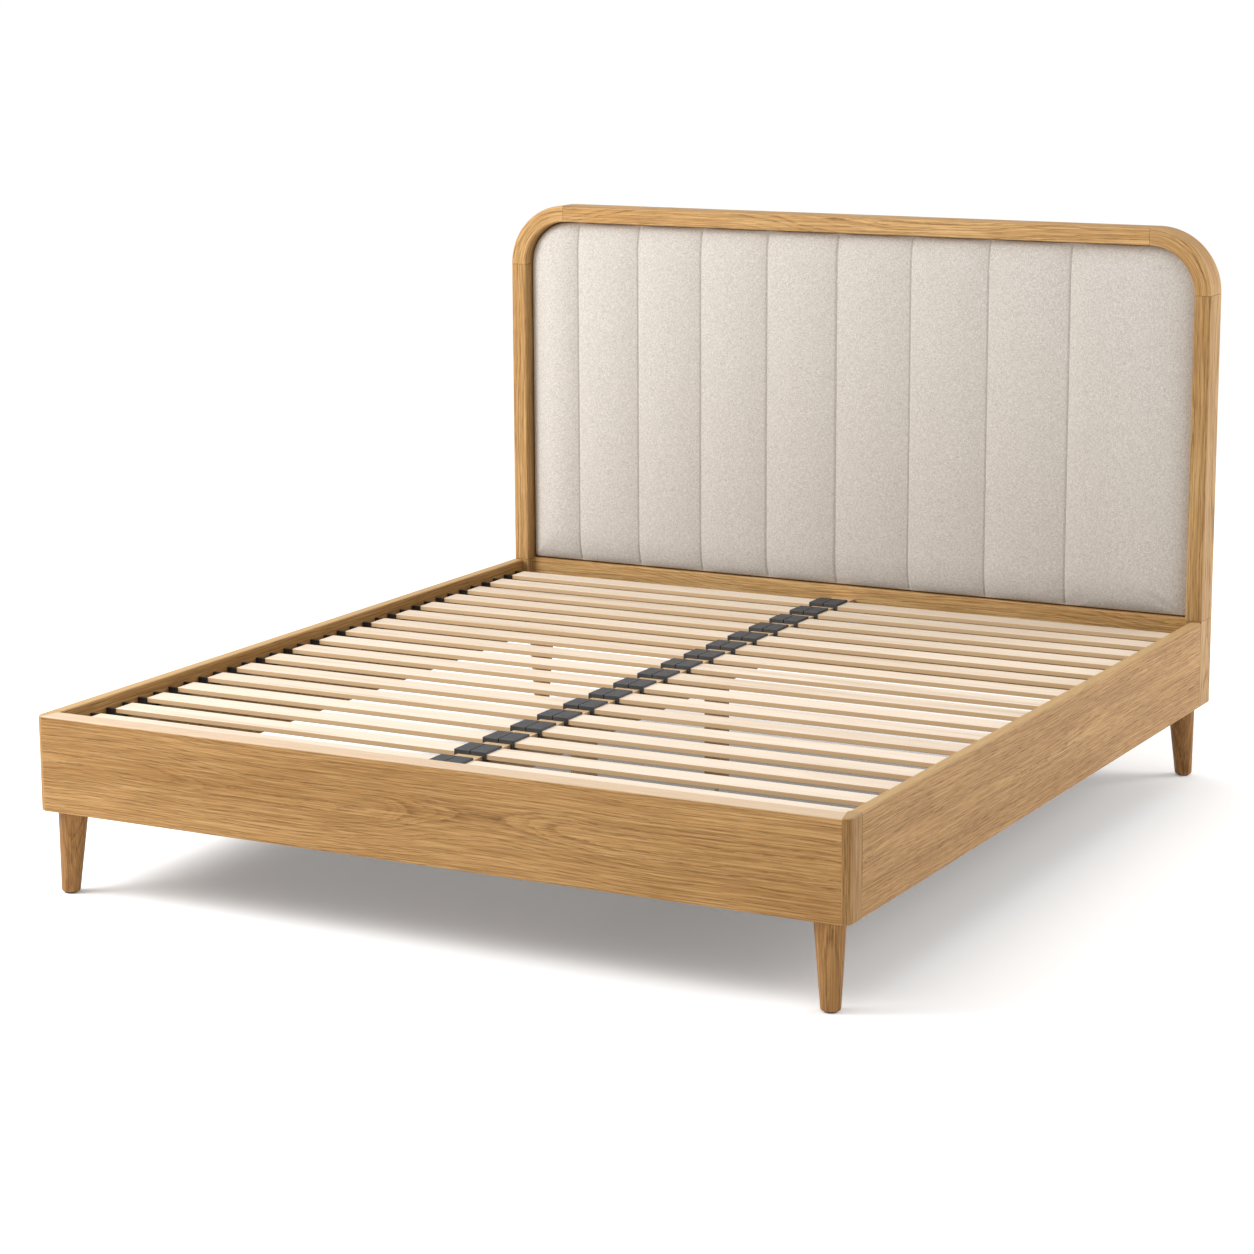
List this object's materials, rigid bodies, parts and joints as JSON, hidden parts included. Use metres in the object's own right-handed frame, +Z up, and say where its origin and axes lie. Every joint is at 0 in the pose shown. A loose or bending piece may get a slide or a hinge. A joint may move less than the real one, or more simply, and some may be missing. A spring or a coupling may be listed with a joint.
{
  "type": "bed frame",
  "caption": "Wooden double bed frame with a channelled fabric headboard in a rounded frame, slatted base on a centre beam, and splayed turned legs.",
  "frame": {"origin": "on the floor, below the middle of the bed outline", "axes": "+X across the bed to the right seen from the foot end, +Y from footboard to headboard, +Z up"},
  "size_m": [1.9, 2.13, 1.329],
  "materials": {
    "oak_base": "honey oak, satin oil",
    "oak_headboard": "honey oak, satin oil",
    "oak_legs": "turned oak, satin oil",
    "birch_slats": "pale birch, sanded",
    "pine": "planed softwood",
    "plywood": "sanded plywood",
    "oatmeal_linen": "woven linen look",
    "grey_plastic": "moulded, fine texture",
    "black_plastic": "moulded, satin",
    "zinc_steel": "zinc plated"
  },
  "bodies": {
    "bed": {"beam_hanger_foot": "zinc_steel", "beam_hanger_head": "zinc_steel", "centre_beam": "pine", "centre_leg_bolts": "zinc_steel", "centre_leg_front": "pine", "centre_leg_rear": "pine", "cleat_left": "pine", "cleat_right": "pine", "corner_angles": "zinc_steel", "foot_corner_left": "oak_base", "foot_corner_right": "oak_base", "foot_inserts": "zinc_steel", "footboard_panel": "oak_base", "head_corner_left": "oak_headboard", "head_corner_right": "oak_headboard", "head_cross_rail": "oak_headboard", "head_lower_panel": "oak_headboard", "head_post_left": "oak_headboard", "head_post_right": "oak_headboard", "head_top_rail": "oak_headboard", "head_upright_left": "oak_headboard", "head_upright_right": "oak_headboard", "headboard_backing": "plywood", "headboard_pad": "oatmeal_linen", "leg_back_left": "oak_legs", "leg_back_right": "oak_legs", "leg_blocks": "pine", "leg_bolts": "zinc_steel", "leg_front_left": "oak_legs", "leg_front_right": "oak_legs", "leg_glides": "black_plastic", "rail_hook_left": "zinc_steel", "rail_hook_right": "zinc_steel", "side_rail_left": "oak_base", "side_rail_right": "oak_base", "slat_caps": "grey_plastic", "slat_holders_left": "black_plastic", "slat_holders_right": "black_plastic", "slat_row_01": "birch_slats", "slat_row_02": "birch_slats", "slat_row_03": "birch_slats", "slat_row_04": "birch_slats", "slat_row_05": "birch_slats", "slat_row_06": "birch_slats", "slat_row_07": "birch_slats", "slat_row_08": "birch_slats", "slat_row_09": "birch_slats", "slat_row_10": "birch_slats", "slat_row_11": "birch_slats", "slat_row_12": "birch_slats", "slat_row_13": "birch_slats", "slat_row_14": "birch_slats", "slat_row_15": "birch_slats", "slat_row_16": "birch_slats", "slat_row_17": "birch_slats", "wood_screws": "zinc_steel"},
    "foot_front": {"foot_pad_front": "black_plastic"},
    "stud_front": {"foot_stud_front": "zinc_steel"},
    "foot_rear": {"foot_pad_rear": "black_plastic"},
    "stud_rear": {"foot_stud_rear": "zinc_steel"}
  },
  "joints": [
    {"name": "foot_front_slide", "type": "slide", "parent": "bed", "child": "foot_front", "axis": [0, 0, 1], "range_m": [0, 0.012]},
    {"name": "foot_front_screw", "type": "hinge", "parent": "foot_front", "child": "stud_front", "pos_m": [0, -0.365, 0.02], "axis": [0, 0, 1], "range_deg": [0, 2880]},
    {"name": "foot_rear_slide", "type": "slide", "parent": "bed", "child": "foot_rear", "axis": [0, 0, 1], "range_m": [0, 0.012]},
    {"name": "foot_rear_screw", "type": "hinge", "parent": "foot_rear", "child": "stud_rear", "pos_m": [0, 0.285, 0.02], "axis": [0, 0, 1], "range_deg": [0, 2880]}
  ],
  "couplings": [
    {"joint": "foot_front_screw", "follows": "foot_front_slide", "rad_per_m": 4188.8},
    {"joint": "foot_rear_screw", "follows": "foot_rear_slide", "rad_per_m": 4188.8}
  ]
}
